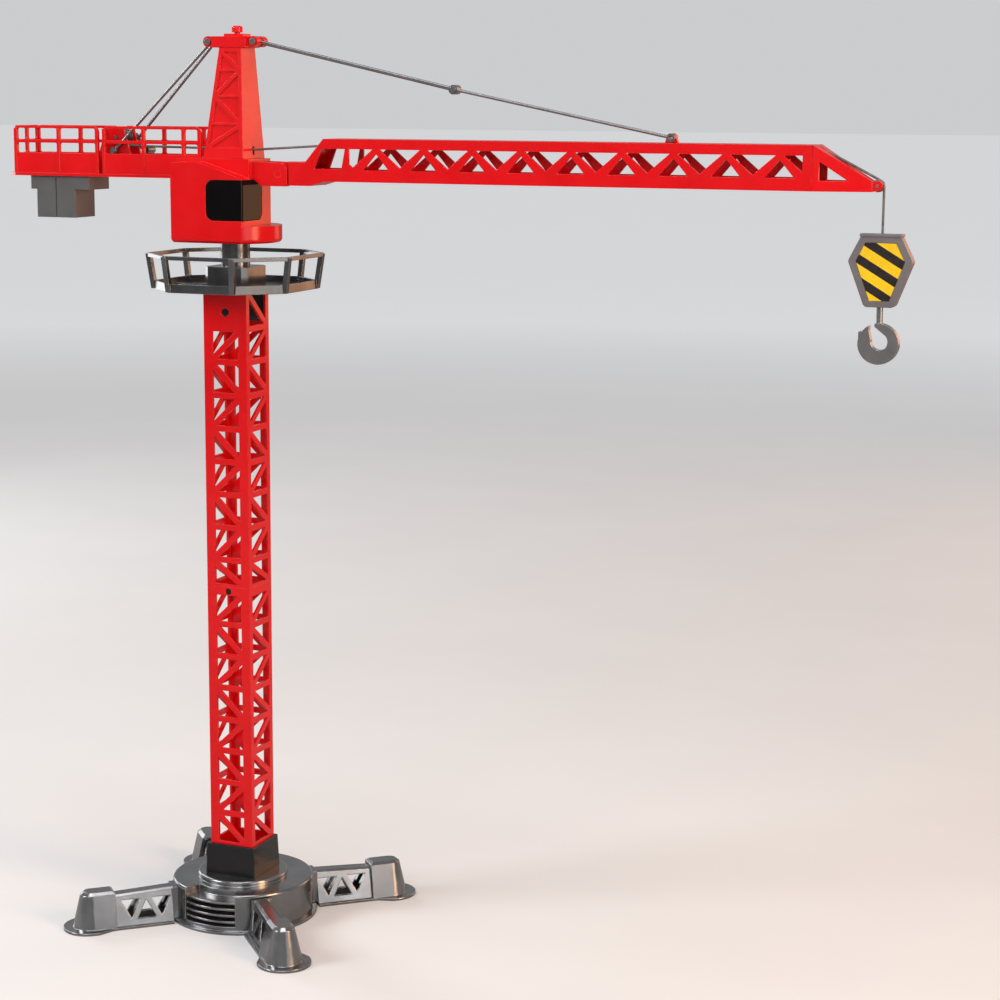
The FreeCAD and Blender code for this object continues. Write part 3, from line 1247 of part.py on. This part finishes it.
doc.recompute()
for item in doc.Objects:
    if "Invalid" in item.State or "Error" in item.State:
        raise ValueError("%s did not compute: %s" % (item.Name, item.State))
    base = getattr(item, "BaseFeature", None)
    if item.TypeId in ("PartDesign::Pocket", "PartDesign::Groove") and base is not None:
        if item.Shape.Volume > base.Shape.Volume - 1e-3:
            raise ValueError("%s cuts nothing" % item.Name)
for node in NODES:
    if node.Shape.isNull() or not node.Shape.isValid() or not node.Shape.Solids:
        raise ValueError("%s has no valid shape" % node.Label)
    node.Shape.exportStep("parts/%s.step" % node.Label)
print("%d sub-parts written" % len(NODES))
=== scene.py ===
"""Looks of the toy tower crane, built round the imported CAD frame."""
import math

import bmesh
import bpy
from mathutils import Matrix, Vector


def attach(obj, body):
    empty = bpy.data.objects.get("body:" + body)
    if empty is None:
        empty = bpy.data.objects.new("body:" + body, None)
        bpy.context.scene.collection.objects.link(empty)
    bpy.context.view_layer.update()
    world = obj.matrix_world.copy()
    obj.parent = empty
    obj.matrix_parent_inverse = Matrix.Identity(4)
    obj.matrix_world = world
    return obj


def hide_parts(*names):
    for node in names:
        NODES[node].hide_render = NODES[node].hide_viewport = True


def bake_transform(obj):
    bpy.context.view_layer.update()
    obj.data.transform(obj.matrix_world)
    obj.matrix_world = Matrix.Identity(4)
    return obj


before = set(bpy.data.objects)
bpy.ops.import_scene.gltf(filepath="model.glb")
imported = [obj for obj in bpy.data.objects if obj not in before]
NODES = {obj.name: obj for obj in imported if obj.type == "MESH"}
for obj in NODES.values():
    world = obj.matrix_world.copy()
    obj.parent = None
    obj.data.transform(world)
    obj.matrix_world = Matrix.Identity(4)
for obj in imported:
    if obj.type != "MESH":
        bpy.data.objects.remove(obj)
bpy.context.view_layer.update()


# ---------------------------------------------------------------- camera

HEADING, TILT, ROLL = 22.26, 9.99, 0.29  # degrees
CAMERA_PLACE = (1.1979, -2.2488, 0.9251)
FOCAL_LENGTH, SENSOR_WIDTH = 82.81, 36
SHIFT_X, SHIFT_Y = 0.0320, 0.0026


def make_camera():
    """A camera with the view's heading, tilt and small roll."""
    heading, tilt, roll = math.radians(HEADING), math.radians(TILT), math.radians(ROLL)
    level_reach = math.cos(tilt)
    forward = Vector((-math.sin(heading) * level_reach, math.cos(heading) * level_reach, -math.sin(tilt)))
    level = Vector((math.cos(heading), math.sin(heading), 0))
    above = level.cross(forward)
    right = level * math.cos(roll) + above * math.sin(roll)
    up = above * math.cos(roll) - level * math.sin(roll)
    data = bpy.data.cameras.new("camera")
    data.lens = FOCAL_LENGTH
    data.sensor_width = SENSOR_WIDTH
    data.shift_x = SHIFT_X
    data.shift_y = SHIFT_Y
    camera = bpy.data.objects.new("camera", data)
    camera.matrix_world = Matrix.Translation(CAMERA_PLACE) @ Matrix(
        (right, up, -forward)).transposed().to_4x4()
    bpy.context.scene.collection.objects.link(camera)
    bpy.context.scene.camera = camera


# ---------------------------------------------------------------- materials

# cosine of the angle between a face and its softened normal: flat, and fully on an edge
FLAT, ON_EDGE = 0.995, 0.93


class Nodes:
    """Short names for building a node tree."""

    def __init__(self, name):
        self.material = bpy.data.materials.new(name)
        self.material.use_nodes = True
        self.tree = self.material.node_tree
        self.shader = self.tree.nodes["Principled BSDF"]
        self.place = self.add("ShaderNodeTexCoord").outputs["Object"]

    def add(self, kind, **settings):
        node = self.tree.nodes.new(kind)
        for key, value in settings.items():
            setattr(node, key, value)
        return node

    def join(self, source, target):
        self.tree.links.new(source, target)

    def noise(self, scale, detail=3.0, roughness=0.55):
        node = self.add("ShaderNodeTexNoise")
        node.inputs["Scale"].default_value = scale
        node.inputs["Detail"].default_value = detail
        node.inputs["Roughness"].default_value = roughness
        self.join(self.place, node.inputs["Vector"])
        return node.outputs["Fac"]

    def spread(self, source, low, high, start=0.0, end=1.0):
        """source from low..high to start..end."""
        node = self.add("ShaderNodeMapRange")
        node.inputs["From Min"].default_value = low
        node.inputs["From Max"].default_value = high
        node.inputs["To Min"].default_value = start
        node.inputs["To Max"].default_value = end
        self.join(source, node.inputs["Value"])
        return node.outputs["Result"]

    def blend(self, share, first, second):
        """Mix of two colours, each a tuple or a socket."""
        node = self.add("ShaderNodeMix", data_type="RGBA")
        self.join(share, node.inputs["Factor"])
        for place, colour in ((6, first), (7, second)):
            if isinstance(colour, tuple):
                node.inputs[place].default_value = (*colour, 1.0)
            else:
                self.join(colour, node.inputs[place])
        return node.outputs[2]

    def maths(self, operation, first, second=0.0):
        node = self.add("ShaderNodeMath", operation=operation)
        for place, value in ((0, first), (1, second)):
            if isinstance(value, (int, float)):
                node.inputs[place].default_value = value
            else:
                self.join(value, node.inputs[place])
        return node.outputs[0]

    def edges(self, radius):
        """(softened normal, edge mask): one where a corner of that radius is near."""
        bevel = self.add("ShaderNodeBevel", samples=6)
        bevel.inputs["Radius"].default_value = radius
        geometry = self.add("ShaderNodeNewGeometry")
        dot = self.add("ShaderNodeVectorMath", operation="DOT_PRODUCT")
        self.join(bevel.outputs["Normal"], dot.inputs[0])
        self.join(geometry.outputs["True Normal"], dot.inputs[1])
        return bevel.outputs["Normal"], self.spread(dot.outputs["Value"], FLAT, ON_EDGE)

    def bump(self, height, distance, normal=None):
        node = self.add("ShaderNodeBump")
        node.inputs["Distance"].default_value = distance
        self.join(height, node.inputs["Height"])
        if normal is not None:
            self.join(normal, node.inputs["Normal"])
        return node.outputs["Normal"]


def moulded(name, base, deep, edge_highlight, gloss, metallic=0.0, coat=0.0, grain=2600.0, grain_depth=0.00001,
            corner=0.0008, highlight_share=0.35, flow=26.0, specular=0.5):
    """Moulded plastic: flow marks in its colour, fine orange peel, corners painted paler in patches as a
    painted edge highlight, a few scuffs.
    """
    n = Nodes(name)
    soft_normal, edge = n.edges(corner)
    marks = n.spread(n.noise(flow, 4.0), 0.35, 0.68)
    colour = n.blend(marks, base, deep)
    # painted edge highlight: the corners are painted towards the paler fourth colour, in patches
    highlight_patches = n.spread(n.noise(95.0, 5.0, 0.7), 0.42, 0.62)
    painted_highlight = n.maths("MULTIPLY", n.maths("MULTIPLY", edge, highlight_patches), highlight_share)
    n.join(n.blend(painted_highlight, colour, edge_highlight), n.shader.inputs["Base Color"])
    scuffs = n.spread(n.noise(420.0, 6.0, 0.75), 0.60, 0.74, 0.0, 0.05)
    haze = n.spread(n.noise(38.0, 3.0), 0.3, 0.7, gloss - 0.045, gloss + 0.055)
    n.join(n.maths("ADD", haze, scuffs), n.shader.inputs["Roughness"])
    n.join(n.bump(n.noise(grain, 2.0), grain_depth, soft_normal), n.shader.inputs["Normal"])
    n.shader.inputs["Metallic"].default_value = metallic
    n.shader.inputs["Specular IOR Level"].default_value = specular
    n.shader.inputs["Coat Weight"].default_value = coat
    n.shader.inputs["Coat Roughness"].default_value = 0.07
    return n


# a point on the middle of a yellow band
LINE_X, BAND_Z = 0.7146, 0.7686
STRIPE_LEAN, STRIPE_PERIOD = math.radians(30.7), 0.0182
# from the middle of a dark band, as shares of the period: where it ends, and where it is fully dark
DARK_EDGE, DARK_FULL = 0.241, 0.229


def striped(name):
    """Printed hazard stripes, falling to the right, under a clear gloss."""
    n = Nodes(name)
    soft_normal, _ = n.edges(0.0004)
    split = n.add("ShaderNodeSeparateXYZ")
    n.join(n.place, split.inputs[0])
    lean, width = STRIPE_LEAN, STRIPE_PERIOD
    across = n.maths("ADD", n.maths("MULTIPLY", split.outputs["X"], math.sin(lean)),
                     n.maths("MULTIPLY", split.outputs["Z"], math.cos(lean)))
    wobble = n.spread(n.noise(800.0, 2.0), 0.0, 1.0, -0.00006, 0.00006)
    origin = NODES["stripe_panels"].matrix_world.translation
    band = (LINE_X - origin.x) * math.sin(lean) + (BAND_Z - origin.z) * math.cos(lean)
    start = width * 100 - band
    phase = n.maths("FRACT", n.maths("DIVIDE", n.maths("ADD", n.maths("ADD", across, wobble), start), width))
    dark = n.spread(n.maths("ABSOLUTE", n.maths("SUBTRACT", phase, 0.5)), DARK_EDGE, DARK_FULL)
    ink = n.spread(n.noise(60.0, 4.0), 0.3, 0.7)
    yellow = n.blend(ink, (0.95, 0.64, 0.012), (0.88, 0.56, 0.008))
    black = n.blend(ink, (0.012, 0.008, 0.008), (0.022, 0.014, 0.014))
    n.join(n.blend(dark, yellow, black), n.shader.inputs["Base Color"])
    n.join(n.spread(n.noise(140.0, 4.0), 0.3, 0.7, 0.22, 0.34), n.shader.inputs["Roughness"])
    n.join(n.bump(n.noise(3000.0, 2.0), 0.000006, soft_normal), n.shader.inputs["Normal"])
    return n


def twine(name):
    """Twisted string: fine fibres as noise in its bump and roughness, and fuzz in its colour."""
    n = Nodes(name)
    fibres = n.noise(2400.0, 4.0, 0.7)
    tone = n.spread(n.noise(160.0, 3.0), 0.3, 0.7)
    n.join(n.blend(tone, (0.090, 0.090, 0.096), (0.170, 0.170, 0.180)), n.shader.inputs["Base Color"])
    n.join(n.spread(fibres, 0.2, 0.8, 0.42, 0.62), n.shader.inputs["Roughness"])
    n.join(n.bump(fibres, 0.00006), n.shader.inputs["Normal"])
    n.shader.inputs["Sheen Weight"].default_value = 0.25
    return n


# the fourth colour of each finish is its painted edge highlight, laid paler on the corners; its share is
# given after the corner radius
RED = moulded("red_abs", (0.760, 0.0040, 0.0070), (0.690, 0.0028, 0.0055), (0.90, 0.085, 0.060), 0.20,
              coat=0.12, corner=0.0010, highlight_share=0.6, specular=0.30)
GUNMETAL = moulded("gunmetal_gloss", (0.300, 0.302, 0.308), (0.220, 0.222, 0.228), (0.66, 0.66, 0.67), 0.20,
                   metallic=0.94, coat=0.35, corner=0.0014, highlight_share=0.6, grain_depth=0.000014)
DARK = moulded("dark_gloss", (0.150, 0.152, 0.157), (0.105, 0.107, 0.112), (0.46, 0.46, 0.47), 0.23,
               metallic=0.85, coat=0.35, corner=0.0010, highlight_share=0.6)
COLLAR = moulded("collar_black", (0.008, 0.008, 0.009), (0.005, 0.005, 0.006), (0.10, 0.10, 0.105), 0.20,
                 coat=0.12, corner=0.0012, highlight_share=0.5, specular=0.35)
RODS = moulded("rod_grey", (0.230, 0.233, 0.240), (0.180, 0.183, 0.188), (0.46, 0.46, 0.47), 0.24,
               metallic=0.75, coat=0.2, corner=0.0006, highlight_share=0.5)
WEIGHTS = moulded("weight_grey", (0.105, 0.100, 0.103), (0.078, 0.075, 0.078), (0.24, 0.23, 0.24), 0.42,
                  metallic=0.0, coat=0.1, corner=0.0012, highlight_share=0.5, grain=1500.0, grain_depth=0.00004)
BLOCK = moulded("block_grey", (0.170, 0.157, 0.166), (0.140, 0.128, 0.136), (0.36, 0.34, 0.35), 0.36,
                coat=0.15, corner=0.0008, highlight_share=0.6)
HOOK = moulded("hook_grey", (0.290, 0.293, 0.300), (0.230, 0.233, 0.238), (0.60, 0.60, 0.61), 0.24,
               metallic=0.7, coat=0.2, corner=0.0008, highlight_share=0.7)
STEEL = moulded("screw_steel", (0.30, 0.30, 0.31), (0.20, 0.20, 0.21), (0.6, 0.6, 0.6), 0.30,
                metallic=1.0, corner=0.0003, highlight_share=0.4)
IRON = moulded("ballast_iron", (0.10, 0.095, 0.09), (0.07, 0.062, 0.055), (0.25, 0.22, 0.2), 0.5,
               metallic=0.8, corner=0.0008, highlight_share=0.6, grain=900.0, grain_depth=0.0001)
WINDOW = moulded("window_black", (0.0035, 0.0032, 0.0034), (0.0055, 0.0050, 0.0052), (0.05, 0.05, 0.05),
                 0.085, coat=0.0, specular=0.10, corner=0.0012, highlight_share=0.12, grain_depth=0.000003)
STRIPES = striped("hazard_stripes")
STRING = twine("hoist_string")

BY_NODE = {
    GUNMETAL: ["base_drum", "base_cover"] + [n for n in NODES if n.startswith(("leg_", "foot_"))],
    COLLAR: ["mast_socket", "mast_screws"],
    DARK: ["platform_deck", "platform_railing", "slew_hub", "slew_retainer"],
    STEEL: ["base_screws", "roller_pin"],
    IRON: ["ballast_disc"],
    WINDOW: ["cab_window"],
    WEIGHTS: ["counterweight_front", "counterweight_rear"],
    BLOCK: ["hook_block_near", "hook_block_far", "hook_block_cap"],
    STRIPES: ["stripe_panels"],
    HOOK: ["swivel_hook"],
    RODS: ["head_pins", "knee_pin", "rear_anchor_pin", "pendant_rods_lower", "pendant_rods_upper",
           "pendant_rods_rear", "string_roller", "winch_drum", "winch_crank", "crank_knob"],
    STRING: ["hoist_line_winch", "hoist_line_link", "hoist_line_jib", "hoist_line_fall"],
}


def finish_nodes():
    """Every CAD node takes its moulded finish; what isn't listed is red."""
    chosen = {name: kind for kind, names in BY_NODE.items() for name in names}
    for name, node in NODES.items():
        material = chosen.get(name, RED).material
        for index in range(len(node.data.materials)):
            node.data.materials[index] = material


# ---------------------------------------------------------------- hoist line

LINE_DIAMETER = 0.0026


def line_curve(name, points):
    """The route's points as one NURBS spline with round section."""
    data = bpy.data.curves.new(name, "CURVE")
    data.dimensions = "3D"
    spline = data.splines.new("NURBS")
    spline.points.add(len(points) - 1)
    for point, (x, z) in zip(spline.points, points):
        point.co = (x, 0.0, z, 1.0)
    spline.order_u = 3
    spline.use_endpoint_u = True
    spline.resolution_u = 24
    data.bevel_depth = LINE_DIAMETER / 2
    data.bevel_resolution = 5
    data.use_fill_caps = True
    data.materials.append(STRING.material)
    item = bpy.data.objects.new(name, data)
    bpy.context.scene.collection.objects.link(item)
    return item


def as_mesh(item):
    """The curve's tube as a mesh object of the same name, and the points of its centre line."""
    graph = bpy.context.evaluated_depsgraph_get()
    tube = bpy.data.meshes.new_from_object(item.evaluated_get(graph))
    item.data.bevel_depth = 0.0
    item.data.update_tag()
    graph = bpy.context.evaluated_depsgraph_get()
    graph.update()
    centre = bpy.data.meshes.new_from_object(item.evaluated_get(graph))
    path = [tuple(v.co) for v in centre.vertices]
    name = item.name
    bpy.data.objects.remove(item)
    made = bpy.data.objects.new(name, tube)
    bpy.context.scene.collection.objects.link(made)
    for face in tube.polygons:
        face.use_smooth = True
    return made, path


def make_hoist_line():
    winch = line_curve("line_winch", [(-0.1410, 0.8707), (0.0262, 0.8682)])
    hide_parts("hoist_line_winch")
    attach(winch, "turret")
    link, path = as_mesh(line_curve("line_link", [(0.0264, 0.8682), (0.1120, 0.8736)]))
    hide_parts("hoist_line_link")
    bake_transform(link)
    along = line_curve("line_jib", [(0.1122, 0.8736), (0.6394, 0.8761), (0.6550, 0.8762), (0.7012, 0.8523),
                                    (0.7146, 0.8454), (0.7146, 0.8398)])
    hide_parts("hoist_line_jib")
    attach(along, "jib")
    fall, path = as_mesh(line_curve("line_fall", [(0.7146, 0.8396), (0.7146, 0.7870)]))
    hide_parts("hoist_line_fall")
    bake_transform(fall)


# ---------------------------------------------------------------- studio

# the world's brightness in reflections and as the camera sees it
ROOM_LIGHT, BACKDROP = 0.33, 0.62
FLOOR_SIZE = 60.0
FADE_START, FADE_END, FADE_SHARE = 1.2, 7.0, 0.67


def make_floor():
    """A pale floor that fades into the backdrop for the camera and looks greyer in reflections."""
    n = Nodes("studio_floor")
    seen = n.add("ShaderNodeLightPath").outputs["Is Camera Ray"]
    pale = n.blend(n.spread(n.noise(3.0), 0.3, 0.7), (0.80, 0.80, 0.80), (0.775, 0.775, 0.78))
    n.join(n.blend(seen, (0.42, 0.42, 0.42), pale), n.shader.inputs["Base Color"])
    far = n.add("ShaderNodeVectorMath", operation="LENGTH")
    n.join(n.place, far.inputs[0])
    fade = n.spread(far.outputs["Value"], FADE_START, FADE_END, 0.0, BACKDROP * FADE_SHARE)
    n.join(n.maths("MULTIPLY", seen, fade), n.shader.inputs["Emission Strength"])
    n.shader.inputs["Emission Color"].default_value = (0.97, 0.98, 1.0, 1.0)
    n.shader.inputs["Roughness"].default_value = 0.85
    n.shader.inputs["Specular IOR Level"].default_value = 0.15
    mesh = bpy.data.meshes.new("studio_floor")
    grid = bmesh.new()
    bmesh.ops.create_grid(grid, x_segments=1, y_segments=1, size=FLOOR_SIZE)
    grid.to_mesh(mesh)
    grid.free()
    mesh.materials.append(n.material)
    floor = bpy.data.objects.new("studio_floor", mesh)
    bpy.context.scene.collection.objects.link(floor)


def lamp(name, place, aim, width, height, power, colour=(1.0, 1.0, 1.0)):
    data = bpy.data.lights.new(name, "AREA")
    data.shape = "RECTANGLE"
    data.size = width
    data.size_y = height
    data.energy = power
    data.color = colour
    item = bpy.data.objects.new(name, data)
    item.location = place
    item.rotation_euler = (Vector(aim) - Vector(place)).to_track_quat("-Z", "Y").to_euler()
    bpy.context.scene.collection.objects.link(item)


# name, place, aim, width, height, power and, if it isn't white, colour
LAMPS = [
    ("key", (-2.5, -2.0, 2.2), (0.1, 0, 0.5), 1.2, 1.6, 62),
    ("warm_side", (3.0, -0.7, 1.3), (0.1, 0, 0.5), 0.9, 2.0, 58, (1.0, 0.60, 0.34)),
    ("top", (0.2, -0.6, 3.2), (0.1, 0, 0.4), 1.6, 1.2, 26),
    ("rear_rim", (-2.6, 1.6, 2.4), (0, 0, 0.6), 0.9, 1.2, 22),
    ("warm_back", (1.8, 3.2, 1.3), (0.1, 0, 0.6), 1.2, 2.0, 15, (1.0, 0.45, 0.22)),
    ("left_card", (-2.8, 1.3, 0.6), (0, 0, 0.1), 1.2, 0.9, 9),
    ("right_card", (2.6, -1.7, 0.8), (0, 0, 0.1), 1.0, 0.9, 6),
    ("front_fill", (0.6, -3.6, 1.9), (0.1, 0, 0.4), 2.0, 1.4, 26),
]


def make_studio():
    make_floor()
    world = bpy.data.worlds.new("studio")
    world.use_nodes = True
    tree = world.node_tree
    background = tree.nodes["Background"]
    background.inputs["Color"].default_value = (0.97, 0.98, 1.0, 1.0)
    path = tree.nodes.new("ShaderNodeLightPath")
    level = tree.nodes.new("ShaderNodeMapRange")
    level.inputs["To Min"].default_value = ROOM_LIGHT
    level.inputs["To Max"].default_value = BACKDROP
    tree.links.new(path.outputs["Is Camera Ray"], level.inputs["Value"])
    tree.links.new(level.outputs["Result"], background.inputs["Strength"])
    bpy.context.scene.world = world
    bpy.context.scene.view_settings.view_transform = "Standard"
    for row in LAMPS:
        lamp(*row)


make_camera()
make_hoist_line()
finish_nodes()
make_studio()
